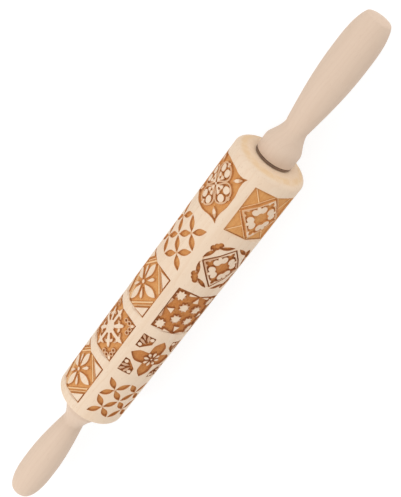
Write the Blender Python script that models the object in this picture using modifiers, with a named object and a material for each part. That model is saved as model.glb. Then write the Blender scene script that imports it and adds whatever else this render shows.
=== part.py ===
"""Embossed rolling pin: a carved beech roller that turns freely on an axle held by two handles.

The roller's engraving is drawn flat, as a slab with the roller's length and its circumference,
and the slab is then rolled up into a tube. Units are metres, with +Z up and the axis along X.
"""
import math

import bmesh
import bpy
from mathutils import Matrix, Vector

MM = 0.001

# Clearances
FIT_GAP = 0.3 * MM
MERGE_DISTANCE = 0.01 * MM
CUT_OVERRUN = 2.0 * MM

# Roller
ROLLER_RADIUS = 24.0 * MM
ROLLER_LENGTH = 224.0 * MM
ROLLER_BORE_GAP = 1.6 * MM
RIM_LENGTH = 4.5 * MM
RIM_DROP = 7.9 * MM
RIM_STEPS = 5
FACETS = 28

# Engraved tiles
COLUMNS = 4
TILE_LENGTH = 34.4 * MM
ROW_GAP = 7.9 * MM
COLUMN_GAP = 6.6 * MM
ENGRAVING_DEPTH = 1.2 * MM

# Axle
AXLE_RADIUS = 4.0 * MM
AXLE_CHAMFER = 0.8 * MM
AXLE_GRIP = 58.0 * MM
AXLE_STEPS = 24

# Washers against the handles: the far one in the roller's end, the near one outside it
FAR_WASHER_THICKNESS = 1.0 * MM
FAR_WASHER_MARGIN = 1.0 * MM
NEAR_WASHER_THICKNESS = 1.5 * MM
NEAR_WASHER_MARGIN = 0.2 * MM

# Bushes in the roller's ends
BUSH_WALL = 2.5 * MM
BUSH_LENGTH = 16.0 * MM
BUSH_STEPS = 32
FLANGE_OVERHANG = 2.7 * MM
FLANGE_THICKNESS = 2.0 * MM
RECESS_SPARE = 0.6 * MM

# Handles
COLLAR_RADIUS = 12.4 * MM
COLLAR_LENGTH = 9.5 * MM
COLLAR_EASE = 0.5 * MM
COVE_LENGTH = 14.0 * MM
NECK_RADIUS = 7.75 * MM
SWELL_LENGTH = 48.7 * MM
GRIP_RADIUS = 12.0 * MM
NOSE_LENGTH = 29.2 * MM
TIP_RADIUS = 8.1 * MM
TIP_DOME = 1.4 * MM
HANDLE_STEPS = 28
COVE_POWER = 1.1
NOSE_POWER = 3.2
COVE_SHARES = (0.0, 0.15, 0.3, 0.45, 0.6, 0.8)
SWELL_SHARES = (0.0, 0.07, 0.16, 0.28, 0.42, 0.6, 0.8)
NOSE_SHARES = (0.0, 0.25, 0.45, 0.62, 0.76, 0.88, 0.96)
DOME_SHARES = (0.0, 0.45, 0.8)

# Worked out from the sizes above
WASHER_ROOM = NEAR_WASHER_THICKNESS + FIT_GAP
HALF_ROLLER = ROLLER_LENGTH / 2
HALF_BODY = HALF_ROLLER + FIT_GAP + WASHER_ROOM / 2
ROLLER_SHIFT = -WASHER_ROOM / 2
ROW_PITCH = TILE_LENGTH + ROW_GAP
ROWS = math.floor((ROLLER_LENGTH - 2 * RIM_LENGTH + ROW_GAP) / ROW_PITCH)
COLUMN_PITCH = 2 * math.pi * ROLLER_RADIUS / COLUMNS
TILE_WIDTH = COLUMN_PITCH - COLUMN_GAP
FACET_ANGLE = 2 * math.pi / FACETS
RUNNING_BORE = AXLE_RADIUS + FIT_GAP
BUSH_RADIUS = RUNNING_BORE + BUSH_WALL
BUSH_RECESS = FAR_WASHER_THICKNESS + RECESS_SPARE
FLANGE_RADIUS = BUSH_RADIUS + FLANGE_OVERHANG
FAR_WASHER_RADIUS = FLANGE_RADIUS - FAR_WASHER_MARGIN
NEAR_WASHER_RADIUS = COLLAR_RADIUS - NEAR_WASHER_MARGIN
ROLLER_BORE = AXLE_RADIUS + ROLLER_BORE_GAP

# Shading and clean-up
SHARP_ANGLE = math.radians(25)
FLAT_ANGLE = math.radians(0.1)
ROUNDING_SHARE = 0.0001

# Colours, linear
BEECH_COLOUR = (0.80, 0.67, 0.50, 1.0)
HANDLE_COLOUR = (0.74, 0.57, 0.41, 1.0)
STEEL_COLOUR = (0.55, 0.55, 0.56, 1.0)
NYLON_COLOUR = (0.80, 0.79, 0.76, 1.0)
WASHER_COLOUR = (0.19, 0.13, 0.09, 1.0)


def new_collection(name):
    """Add a collection to the scene."""
    collection = bpy.data.collections.new(name)
    bpy.context.scene.collection.children.link(collection)
    return collection


def new_material(name, colour, roughness, metallic=0.0):
    """Make a material with one Principled BSDF."""
    material = bpy.data.materials.new(name)
    material.use_nodes = True
    shader = material.node_tree.nodes["Principled BSDF"]
    shader.inputs["Base Color"].default_value = colour
    shader.inputs["Roughness"].default_value = roughness
    shader.inputs["Metallic"].default_value = metallic
    return material


def finish_object(obj, collection, material, parent):
    """Put a finished piece in its collection, under its axis, with its material."""
    for owner in list(obj.users_collection):
        owner.objects.unlink(obj)
    collection.objects.link(obj)
    obj.data.materials.clear()
    obj.data.materials.append(material)
    obj.parent = parent
    obj.data.shade_smooth()
    obj.data.set_sharp_from_angle(angle=SHARP_ANGLE)
    return obj


def turned(name, outline, steps, closed):
    """Turn an outline of (radius, height) points about Z; it runs down its outer side."""
    mesh = bpy.data.meshes.new(name)
    points = [(radius, 0.0, height) for radius, height in outline]
    edges = [(i, i + 1) for i in range(len(points) - 1)]
    if closed:
        edges.append((len(points) - 1, 0))
    mesh.from_pydata(points, edges, [])
    obj = bpy.data.objects.new(name, mesh)
    bpy.context.scene.collection.objects.link(obj)
    screw = obj.modifiers.new("turn", "SCREW")
    screw.axis = "Z"
    screw.steps = steps
    screw.render_steps = steps
    screw.use_merge_vertices = True
    screw.merge_threshold = MERGE_DISTANCE
    return obj


def lay_along_x(obj, start, direction):
    """Lay a turned piece on the axis: its height runs towards +X or -X from start."""
    obj.rotation_euler = (0.0, direction * math.pi / 2, 0.0)
    obj.location = (start, 0.0, 0.0)


# Motifs, drawn in shares of half a tile: first along the axis, then around it.
# Each motif is a list of loops, and each loop inside another turns cut into raised and back.

def outline_of(point_shares):
    """A loop from its corner points."""
    return [Vector(point) for point in point_shares]


def leaf(start_share, end_share, width_share):
    """A pointed oval with six corners, from start to end."""
    shoulder_shares = (0.28, 0.72)
    shoulder_width_share = 0.86
    start = Vector(start_share)
    along = Vector(end_share) - start
    across = Vector((-along.y, along.x)) * width_share * shoulder_width_share / 2
    near, far = (start + along * share for share in shoulder_shares)
    return [start, near + across, far + across, start + along, far - across, near - across]


def blade(start_share, end_share, width_share):
    """A narrow leaf with four corners, from start to end."""
    start = Vector(start_share)
    along = Vector(end_share) - start
    across = Vector((-along.y, along.x)) * width_share / 2
    return [start, start + along / 2 + across, start + along, start + along / 2 - across]


def star(centre_share, tip_share, root_share, points):
    """A star with its first point along the axis."""
    loop = []
    for i in range(2 * points):
        reach = root_share if i % 2 else tip_share
        angle = math.pi * i / points
        loop.append(Vector(centre_share) + Vector((math.cos(angle), math.sin(angle))) * reach)
    return loop


def square(half_share):
    """A square with its sides along the tile's."""
    return [Vector((half_share * a, half_share * b)) for a, b in ((1, 1), (-1, 1), (-1, -1), (1, -1))]


def lozenge(half_share):
    """A square stood on its corner."""
    return [Vector((half_share * a, half_share * b)) for a, b in ((1, 0), (0, 1), (-1, 0), (0, -1))]


def quarter_turns(loops):
    """Repeat loops at the four quarter turns."""
    out = []
    for turn in range(4):
        matrix = Matrix.Rotation(math.pi / 2 * turn, 2)
        out += [[matrix @ point for point in loop] for loop in loops]
    return out


def petal_lattice():
    """Petals cut between the nodes of a lattice, as where circles overlap."""
    petal_width_share = 0.42
    petal_shares = (
        ((0.05, 0.05), (0.46, 0.46)),
        ((0.54, 0.54), (0.96, 0.96)),
        ((0.54, 0.46), (0.95, 0.05)),
        ((0.54, -0.46), (0.95, -0.05)),
    )
    return quarter_turns([leaf(start, end, petal_width_share) for start, end in petal_shares])


def ogee_medallion():
    """A pointed four-lobed medallion with four heart scrolls and a leaf at each tip."""
    reach_shares = (1.38, 1.1, 0.97, 1.1)
    turn_shares = (0.0, 0.15, 0.5, 0.85)
    heart_shares = ((0.08, 0.0), (0.36, 0.29), (0.64, 0.38), (0.84, 0.17),
                    (0.76, 0.0), (0.84, -0.17), (0.64, -0.38), (0.36, -0.29))
    hollow_shares = ((0.2, 0.0), (0.39, 0.21), (0.62, 0.29), (0.74, 0.14),
                     (0.67, 0.0), (0.74, -0.14), (0.62, -0.29), (0.39, -0.21))
    tip_leaf_shares = ((0.6, 0.6), (0.86, 0.86), 0.3)
    medallion = []
    for quarter in range(4):
        for reach, turn in zip(reach_shares, turn_shares):
            angle = math.pi / 4 + (quarter + turn) * math.pi / 2
            medallion.append(Vector((math.cos(angle), math.sin(angle))) * reach)
    inner = [outline_of(heart_shares), outline_of(hollow_shares), leaf(*tip_leaf_shares)]
    return [medallion] + quarter_turns(inner)


def blossom_pockets():
    """A square cut in the middle and a stemmed pocket on each side, which leave four blossoms between."""
    square_share = 0.2
    half_shares = ((0.26, 0.05), (0.44, 0.06), (0.53, 0.2), (0.64, 0.11))
    pocket = half_shares + ((0.77, 0.0),) + tuple(
        (along, -around) for along, around in reversed(half_shares))
    return [square(square_share)] + quarter_turns([outline_of(pocket)])


def envelope():
    """A cut square with creases from its corners to a framed lozenge of blossoms."""
    lozenge_share = 0.9
    crease_shares = ((0.9, 0.86), (0.86, 0.9), (0.52, 0.56), (0.56, 0.52))
    creases = quarter_turns([outline_of(crease_shares)])
    return [square(1.0), lozenge(lozenge_share)] + blossom_pockets() + creases


def lozenge_and_sprigs():
    """A lozenge of blossoms inside a groove, with a sprig cut in each corner."""
    groove_shares = (0.95, 0.87)
    bud_shares = ((0.95, 0.95), (0.7, 0.9), (0.66, 0.66), (0.9, 0.7))
    blade_shares = (
        ((0.68, 0.62), (0.9, 0.3), 0.3),
        ((0.62, 0.68), (0.3, 0.9), 0.3),
    )
    groove = [lozenge(share) for share in groove_shares]
    sprig = [outline_of(bud_shares)] + [blade(*shares) for shares in blade_shares]
    return groove + blossom_pockets() + quarter_turns(sprig)


def framed_flower():
    """Corner triangles and bars round a flower with long and short petals."""
    triangle_shares = ((0.95, 0.95), (0.5, 0.95), (0.95, 0.5))
    bar_shares = ((0.28, 0.93), (0.22, 0.87), (0.87, 0.22), (0.93, 0.28))
    long_petal_shares = ((0.14, 0.0), (0.88, 0.0), 0.44)
    short_petal_shares = ((0.12, 0.12), (0.38, 0.38), 0.4)
    loops = [outline_of(triangle_shares), outline_of(bar_shares), leaf(*long_petal_shares),
             blade(*short_petal_shares)]
    return [square(1.0)] + quarter_turns(loops)


def star_field():
    """Stars left standing in a cut square, with triangles between them."""
    star_size_shares = (0.21, 0.13)
    star_place_shares = ((0.74, 0.72), (0.3, 0.3))
    triangle_shares = ((0.88, 0.16), (0.88, -0.16), (0.68, 0.0))
    stars = [star(place, *star_size_shares, 4) for place in star_place_shares]
    return [square(1.0)] + quarter_turns(stars + [outline_of(triangle_shares)])


def lily_cross():
    """A snowflake of eight lily arms left standing in a cut square, with a scroll in each corner."""
    hub_shares = (0.29, 0.22)
    half_long_shares = ((0.36, 0.05), (0.64, 0.06), (0.62, 0.2), (0.74, 0.16))
    half_short_shares = ((0.24, 0.32), (0.36, 0.46), (0.28, 0.57))
    scroll_shares = ((0.92, 0.74), (0.74, 0.92), 0.4)
    long_arm = half_long_shares + ((0.93, 0.0),) + tuple(
        (along, -around) for along, around in reversed(half_long_shares))
    short_arm = half_short_shares + ((0.58, 0.58),) + tuple(
        (around, along) for along, around in reversed(half_short_shares))
    arms = [outline_of(long_arm), outline_of(short_arm), blade(*scroll_shares)]
    return [square(1.0), star((0.0, 0.0), *hub_shares, 8)] + quarter_turns(arms)


def leaf_cross():
    """Four broad leaves cut round a small flower, and a sprig panel cut in each corner."""
    broad_leaf_shares = ((0.28, -0.28), (0.68, -0.28), (0.97, 0.0), (0.68, 0.28))
    flower_shares = (0.33, 0.15)
    panel_shares = ((0.97, 0.97), (0.38, 0.97), (0.38, 0.8), (0.8, 0.38), (0.97, 0.38))
    blade_shares = (
        ((0.66, 0.74), (0.58, 0.92), 0.5),
        ((0.74, 0.66), (0.92, 0.58), 0.5),
    )
    cross = [point for loop in quarter_turns([outline_of(broad_leaf_shares)]) for point in loop]
    corner = [outline_of(panel_shares)] + [blade(*shares) for shares in blade_shares]
    return [cross, star((0.0, 0.0), *flower_shares, 8)] + quarter_turns(corner)


# The tiles' motifs: rows from the near end, columns from under the -Y side over the top to under +Y
PATCHWORK = (
    (petal_lattice, envelope, ogee_medallion, star_field),
    (framed_flower, lozenge_and_sprigs, petal_lattice, leaf_cross),
    (ogee_medallion, star_field, framed_flower, lozenge_and_sprigs),
    (envelope, leaf_cross, lily_cross, petal_lattice),
    (lily_cross, petal_lattice, framed_flower, ogee_medallion),
)


def meshed(source, collection):
    """Replace a filled curve by a closed mesh in the same place."""
    bpy.context.view_layer.update()
    evaluated = source.evaluated_get(bpy.context.evaluated_depsgraph_get())
    mesh = bpy.data.meshes.new_from_object(evaluated)
    work = bmesh.new()
    work.from_mesh(mesh)
    bmesh.ops.remove_doubles(work, verts=work.verts, dist=MERGE_DISTANCE)
    work.to_mesh(mesh)
    work.free()
    obj = bpy.data.objects.new(source.name, mesh)
    collection.objects.link(obj)
    obj.matrix_world = source.matrix_world
    obj.hide_render = True
    obj.display_type = "WIRE"
    bpy.data.objects.remove(source)
    return obj


def filled_curve(name, loops, thickness, collection):
    """A flat curve filled between its loops and thickened both ways."""
    curve = bpy.data.curves.new(name, "CURVE")
    curve.dimensions = "2D"
    curve.fill_mode = "BOTH"
    curve.extrude = thickness / 2
    for loop in loops:
        spline = curve.splines.new("POLY")
        spline.points.add(len(loop) - 1)
        spline.use_cyclic_u = True
        for point, place in zip(spline.points, loop):
            point.co = (place.x, place.y, 0.0, 1.0)
    source = bpy.data.objects.new(name, curve)
    collection.objects.link(source)
    return source


def tile_cutter(motif, row, column, collection):
    """The cuts of one tile, at its place on the flat slab."""
    half_tile = Vector((TILE_LENGTH / 2, TILE_WIDTH / 2))
    loops = [[share * half_tile for share in loop] for loop in motif()]
    source = filled_curve(motif.__name__, loops, ENGRAVING_DEPTH + CUT_OVERRUN, collection)
    source.location = (((ROWS - 1) / 2 - row) * ROW_PITCH, (column - (COLUMNS - 1) / 2) * COLUMN_PITCH,
                       ROLLER_RADIUS + (CUT_OVERRUN - ENGRAVING_DEPTH) / 2)
    return meshed(source, collection)


def slab_outline():
    """Section of the roller's wall: (place along the axis, radius), round the right half then the left."""
    right = []
    for step in range(RIM_STEPS + 1):
        angle = math.pi / 2 * (1 - step / RIM_STEPS)
        right.append(Vector((HALF_ROLLER - RIM_LENGTH + RIM_LENGTH * math.cos(angle),
                             ROLLER_RADIUS - RIM_DROP + RIM_DROP * math.sin(angle))))
    flange_pocket = FLANGE_RADIUS + FIT_GAP
    bush_pocket = BUSH_RADIUS + FIT_GAP
    flange_end = HALF_ROLLER - BUSH_RECESS - FLANGE_THICKNESS - FIT_GAP
    bush_end = HALF_ROLLER - BUSH_RECESS - BUSH_LENGTH - FIT_GAP
    right += [Vector(corner) for corner in (
        (HALF_ROLLER, flange_pocket), (flange_end, flange_pocket), (flange_end, bush_pocket),
        (bush_end, bush_pocket), (bush_end, ROLLER_BORE))]
    return right + [Vector((-corner.x, corner.y)) for corner in reversed(right)]


def engraved_slab(cutters):
    """The roller's wall laid flat, with its engraving cut: X along the axis, Y around it, Z the radius."""
    source = filled_curve("slab", [slab_outline()], 2 * math.pi * ROLLER_RADIUS, cutters)
    source.rotation_euler = (math.pi / 2, 0.0, 0.0)
    source.location = (0.0, -FACET_ANGLE * ROLLER_RADIUS / 2, 0.0)
    slab = meshed(source, cutters)
    engraving = new_collection("engraving")
    for row in range(ROWS):
        motifs = PATCHWORK[row % len(PATCHWORK)]
        for column in range(COLUMNS):
            tile_cutter(motifs[column % len(motifs)], row, column, engraving)
    cut = slab.modifiers.new("engrave", "BOOLEAN")
    cut.operation = "DIFFERENCE"
    cut.solver = "MANIFOLD"
    cut.operand_type = "COLLECTION"
    cut.collection = engraving
    bpy.context.view_layer.update()
    evaluated = slab.evaluated_get(bpy.context.evaluated_depsgraph_get())
    mesh = bpy.data.meshes.new_from_object(evaluated)
    mesh.transform(slab.matrix_world)
    for obj in list(engraving.objects) + [slab]:
        bpy.data.objects.remove(obj)
    bpy.data.collections.remove(engraving)
    return mesh


def roll_up(mesh):
    """Bend the flat slab into a faceted tube and join its seam."""
    seam_start = -math.pi - FACET_ANGLE / 2
    seam_places = [seam_start * ROLLER_RADIUS, (seam_start + 2 * math.pi) * ROLLER_RADIUS]
    work = bmesh.new()
    work.from_mesh(mesh)
    bmesh.ops.remove_doubles(work, verts=work.verts, dist=MERGE_DISTANCE)
    ends = [face for face in work.faces for place in seam_places
            if all(abs(vert.co.y - place) < MERGE_DISTANCE for vert in face.verts)]
    bmesh.ops.delete(work, geom=ends, context="FACES")
    bmesh.ops.triangulate(work, faces=work.faces)
    for facet in range(1, FACETS):
        place = (seam_start + facet * FACET_ANGLE) * ROLLER_RADIUS
        geometry = list(work.verts) + list(work.edges) + list(work.faces)
        bmesh.ops.bisect_plane(work, geom=geometry, dist=MERGE_DISTANCE, plane_co=(0.0, place, 0.0),
                               plane_no=(0.0, 1.0, 0.0))
    for vert in work.verts:
        turns = (vert.co.y / ROLLER_RADIUS - seam_start) / FACET_ANGLE
        facet = min(max(math.floor(turns + ROUNDING_SHARE), 0), FACETS - 1)
        share = turns - facet
        first = seam_start + facet * FACET_ANGLE
        corners = [Vector((math.sin(angle), math.cos(angle))) for angle in (first, first + FACET_ANGLE)]
        place = vert.co.z * corners[0].lerp(corners[1], share)
        vert.co = (vert.co.x, place.x, place.y)
    bmesh.ops.remove_doubles(work, verts=work.verts, dist=MERGE_DISTANCE)
    bmesh.ops.dissolve_limit(work, angle_limit=FLAT_ANGLE, verts=work.verts, edges=work.edges)
    bmesh.ops.recalc_face_normals(work, faces=work.faces)
    work.to_mesh(mesh)
    work.free()
    return mesh


def build_roller(collection, cutters, material, parent):
    """The carved roller."""
    mesh = roll_up(engraved_slab(cutters))
    obj = bpy.data.objects.new("roller", mesh)
    collection.objects.link(obj)
    return finish_object(obj, collection, material, parent)


def handle_outline():
    """A handle's section from its tip down to its base, then up its axle hole: (radius, height)."""
    neck_at = COLLAR_LENGTH + COVE_LENGTH
    grip_at = neck_at + SWELL_LENGTH
    nose_end = grip_at + NOSE_LENGTH
    outline = [(0.0, nose_end + TIP_DOME)]
    for share in reversed(DOME_SHARES):
        outline.append((TIP_RADIUS * math.sqrt(1 - share), nose_end + TIP_DOME * share))
    for share in reversed(NOSE_SHARES):
        loss = (GRIP_RADIUS ** 2 - TIP_RADIUS ** 2) * share ** NOSE_POWER
        outline.append((math.sqrt(GRIP_RADIUS ** 2 - loss), grip_at + NOSE_LENGTH * share))
    for share in reversed(SWELL_SHARES):
        swell = (GRIP_RADIUS - NECK_RADIUS) * math.sin(math.pi / 2 * share)
        outline.append((NECK_RADIUS + swell, neck_at + SWELL_LENGTH * share))
    for share in reversed(COVE_SHARES):
        drop = (COLLAR_RADIUS - NECK_RADIUS) * math.sin(math.pi / 2 * share) ** COVE_POWER
        outline.append((COLLAR_RADIUS - COLLAR_EASE / 2 - drop, COLLAR_LENGTH + COVE_LENGTH * share))
    outline += [(COLLAR_RADIUS, COLLAR_LENGTH / 2), (COLLAR_RADIUS, COLLAR_EASE),
                (COLLAR_RADIUS - COLLAR_EASE, 0.0)]
    hole = AXLE_RADIUS + FIT_GAP
    depth = AXLE_GRIP + FIT_GAP
    return outline + [(hole, 0.0), (hole, depth), (0.0, depth)]


def axle_outline():
    """The axle's section: (radius, height)."""
    half_length = HALF_BODY + AXLE_GRIP
    shoulder = half_length - AXLE_CHAMFER
    return [(0.0, half_length), (AXLE_RADIUS - AXLE_CHAMFER, half_length), (AXLE_RADIUS, shoulder),
            (AXLE_RADIUS, -shoulder), (AXLE_RADIUS - AXLE_CHAMFER, -half_length), (0.0, -half_length)]


def bush_outline():
    """A flanged bush's section, from the flange's face inwards: (radius, height)."""
    return [(FLANGE_RADIUS, 0.0), (FLANGE_RADIUS, -FLANGE_THICKNESS), (BUSH_RADIUS, -FLANGE_THICKNESS),
            (BUSH_RADIUS, -BUSH_LENGTH), (RUNNING_BORE, -BUSH_LENGTH), (RUNNING_BORE, 0.0)]


def washer_outline(radius, thickness):
    """A washer's section: (radius, height)."""
    return [(radius, thickness), (radius, 0.0), (RUNNING_BORE, 0.0), (RUNNING_BORE, thickness)]


def build_handle(name, direction, collection, material, parent):
    """One handle, its base on the axle's end."""
    obj = turned(name, handle_outline(), HANDLE_STEPS, False)
    lay_along_x(obj, direction * HALF_BODY, direction)
    return finish_object(obj, collection, material, parent)


def build_axle(collection, material, parent):
    """The axle that carries the roller and joins the handles."""
    obj = turned("axle", axle_outline(), AXLE_STEPS, False)
    lay_along_x(obj, 0.0, 1)
    return finish_object(obj, collection, material, parent)


def build_bush(name, direction, collection, material, parent):
    """One bush, its flange just inside the roller's end."""
    obj = turned(name, bush_outline(), BUSH_STEPS, True)
    lay_along_x(obj, direction * (HALF_ROLLER - BUSH_RECESS), direction)
    return finish_object(obj, collection, material, parent)


def build_washer(name, direction, collection, material, parent):
    """One washer, resting against a handle's base."""
    near = (NEAR_WASHER_RADIUS, NEAR_WASHER_THICKNESS)
    far = (FAR_WASHER_RADIUS, FAR_WASHER_THICKNESS)
    radius, thickness = near if direction > 0 else far
    obj = turned(name, washer_outline(radius, thickness), BUSH_STEPS, True)
    lay_along_x(obj, direction * (HALF_BODY - FIT_GAP - thickness), direction)
    return finish_object(obj, collection, material, parent)


def axis_empty(name, collection, place):
    """An empty on the pin's axis that carries the pieces that turn together."""
    empty = bpy.data.objects.new(name, None)
    collection.objects.link(empty)
    empty.location = (place, 0.0, 0.0)
    return empty


def main():
    """Build the rolling pin."""
    for obj in list(bpy.data.objects):
        bpy.data.objects.remove(obj)
    parts = new_collection("rolling_pin")
    cutters = new_collection("cutters")
    beech = new_material("beech", BEECH_COLOUR, 0.6)
    handle_wood = new_material("handle_wood", HANDLE_COLOUR, 0.55)
    steel = new_material("steel", STEEL_COLOUR, 0.3, 1.0)
    nylon = new_material("nylon", NYLON_COLOUR, 0.45)
    dark_washer = new_material("dark_washer", WASHER_COLOUR, 0.5)
    grips_axis = axis_empty("grips_axis", parts, 0.0)
    roller_axis = axis_empty("roller_axis", parts, ROLLER_SHIFT)
    build_roller(parts, cutters, beech, roller_axis)
    build_axle(parts, steel, grips_axis)
    for side, direction in (("near", 1), ("far", -1)):
        build_bush(f"{side}_bush", direction, parts, nylon, roller_axis)
        build_washer(f"{side}_washer", direction, parts, dark_washer, grips_axis)
        build_handle(f"{side}_handle", direction, parts, handle_wood, grips_axis)


main()
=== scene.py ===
"""Embossed rolling pin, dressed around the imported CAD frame.

The roller's skin is carved from eight drawn tile motifs, each drawn once as a quarter and then
mirrored, copied and laid round the cylinder. Everything else is turned on the X axis, as on a lathe.
Lengths are metres in Blender, and millimetres on the flat drawing of a tile.
"""

import logging
import math
from contextlib import contextmanager
from dataclasses import dataclass
from enum import Enum
from functools import partial, reduce
from itertools import pairwise
from typing import Callable, Iterable, Iterator, Sequence

import bmesh
import bpy
import numpy as np
from mathutils import Matrix, Vector
from mathutils.geometry import delaunay_2d_cdt

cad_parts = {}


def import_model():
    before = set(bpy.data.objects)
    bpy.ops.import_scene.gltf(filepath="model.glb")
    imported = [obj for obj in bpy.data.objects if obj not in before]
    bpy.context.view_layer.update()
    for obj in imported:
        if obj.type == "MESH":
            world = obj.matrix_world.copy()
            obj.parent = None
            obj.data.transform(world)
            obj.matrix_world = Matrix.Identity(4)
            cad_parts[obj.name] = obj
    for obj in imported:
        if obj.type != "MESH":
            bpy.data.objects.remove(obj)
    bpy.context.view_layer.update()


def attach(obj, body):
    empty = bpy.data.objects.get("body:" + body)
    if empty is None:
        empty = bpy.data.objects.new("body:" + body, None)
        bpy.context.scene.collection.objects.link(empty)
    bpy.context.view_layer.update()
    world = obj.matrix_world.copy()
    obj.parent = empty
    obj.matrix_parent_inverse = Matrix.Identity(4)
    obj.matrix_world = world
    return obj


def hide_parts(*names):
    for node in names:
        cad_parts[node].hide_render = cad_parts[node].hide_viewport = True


LOG = logging.getLogger("rolling_pin")
MM = 0.001
MERGE_DISTANCE = 0.004 * MM
ROUNDING = 1e-6
LEG_SHARE = 0.45
ROLLER_RADIUS = 24.0 * MM
ROLLER_SHIFT = -0.9 * MM
AXLE_BORE = 4.3 * MM
GROWTH_RING = 3.1 * MM
SCAN_LINE = 0.4 * MM
CROSS_LINE = 0.9 * MM
WHITE = (1.0, 1.0, 1.0, 1.0)

Outline = np.ndarray
Share = tuple[float, float]
Station = tuple[float, float]
Window = tuple[slice, slice]
Colour = tuple[int, int, int]
Place = tuple[float, float, float]
Socket = bpy.types.NodeSocket


class Side(Enum):
    """The two ends of the pin, with their direction along X."""

    NEAR = 1
    FAR = -1

    @property
    def word(self) -> str:
        """The end's name in the names of pieces."""
        return self.name.lower()


class Slot(Enum):
    """The record's material slots."""

    ROLLER = "roller_wood"
    HANDLE = "handle_wood"
    AXLE = "axle_steel"
    BUSH = "bush_nylon"
    WASHER = "washer_nylon"


# Outlines of the engraving's shapes, in shares of half a tile: first along the axis, then around it

CURVE_STEPS = 5
BLADE_STEPS = 17
OVAL_POINTS = 24


def outline_of(*points: Share) -> Outline:
    """A closed outline or a path from its points."""
    return np.array(points, float)


def smooth_path(points: Iterable[Share], closed: bool = False) -> Outline:
    """A smooth curve that passes through its points.

    Args:
        points: The points that it passes through.
        closed: Whether it returns to its first point.

    Returns:
        The curve's points.
    """
    knots = np.array(list(points), float)
    if closed:
        knots = np.vstack([knots[-1], knots, knots[:2]])
    else:
        knots = np.vstack([2 * knots[0] - knots[1], knots, 2 * knots[-1] - knots[-2]])
    curve = []
    for before, start, end, after in zip(knots, knots[1:], knots[2:], knots[3:]):
        for t in np.arange(CURVE_STEPS) / CURVE_STEPS:
            curve.append(0.5 * (2 * start + (end - before) * t
                                + (2 * before - 5 * start + 4 * end - after) * t ** 2
                                + (3 * start - before - 3 * end + after) * t ** 3))
    if not closed:
        curve.append(knots[-2])
    return np.array(curve)


def blade(path: Outline, width: float, belly: float = 0.5, blunt: float = 1.0) -> Outline:
    """A leaf along a path, pointed at both ends.

    Args:
        path: The leaf's middle line.
        width: Its greatest width.
        belly: Share of its length at which it is widest.
        blunt: Below 1 the ends are rounder.

    Returns:
        The leaf's outline.
    """
    lengths = np.concatenate([[0.0], np.cumsum(np.linalg.norm(np.diff(path, axis=0), axis=1))])
    share = np.linspace(0, 1, BLADE_STEPS)
    middle = np.column_stack([np.interp(share * lengths[-1], lengths, path[:, i]) for i in (0, 1)])
    along = np.gradient(middle, axis=0)
    along /= np.linalg.norm(along, axis=1)[:, None]
    across = np.column_stack([-along[:, 1], along[:, 0]])
    warped = share ** (math.log(0.5) / math.log(belly))
    half = (width / 2 * np.sin(np.pi * warped) ** blunt)[:, None]
    return np.vstack([middle + across * half, (middle - across * half)[-2:0:-1]])


def petal(start: Share, end: Share, width: float, belly: float = 0.5, blunt: float = 1.0) -> Outline:
    """A straight leaf from start to end, its width in shares of half a tile."""
    return blade(outline_of(start, end), width, belly, blunt)


def oval(centre: Share, radii: Share, turn: float = 0.0) -> Outline:
    """An oval with its first radius turned from the axis by an angle."""
    angles = np.arange(OVAL_POINTS) / OVAL_POINTS * 2 * np.pi
    flat = np.column_stack([radii[0] * np.cos(angles), radii[1] * np.sin(angles)])
    rotation = np.array([[math.cos(turn), math.sin(turn)], [-math.sin(turn), math.cos(turn)]])
    return flat @ rotation + centre


def star(centre: Share, tip: float, root: float, points: int) -> Outline:
    """A star with its first point along the axis."""
    angles = np.arange(2 * points) / points * np.pi
    reach = np.where(np.arange(2 * points) % 2, root, tip)
    return np.column_stack([reach * np.cos(angles), reach * np.sin(angles)]) + centre


def swapped(outline: Outline) -> Outline:
    """The outline with its two directions exchanged."""
    return outline[:, ::-1]


def two_fold(half: Outline) -> Outline:
    """A closed outline from the half on one side of the first axis, where its ends lie."""
    return np.vstack([half, half[-2:0:-1] * (1, -1)])


def four_fold(quarter: Outline) -> Outline:
    """A closed outline from its first quarter, which runs from the first axis to the second."""
    return two_fold(np.vstack([quarter, quarter[-2::-1] * (-1, 1)]))


def eight_fold(eighth: Outline) -> Outline:
    """A closed outline from its first eighth, which runs from the first axis to the diagonal."""
    return four_fold(np.vstack([eighth, swapped(eighth)[::-1]]))


WHOLE_TILE = outline_of((1, 1), (-1, 1), (-1, -1), (1, -1))


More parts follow.
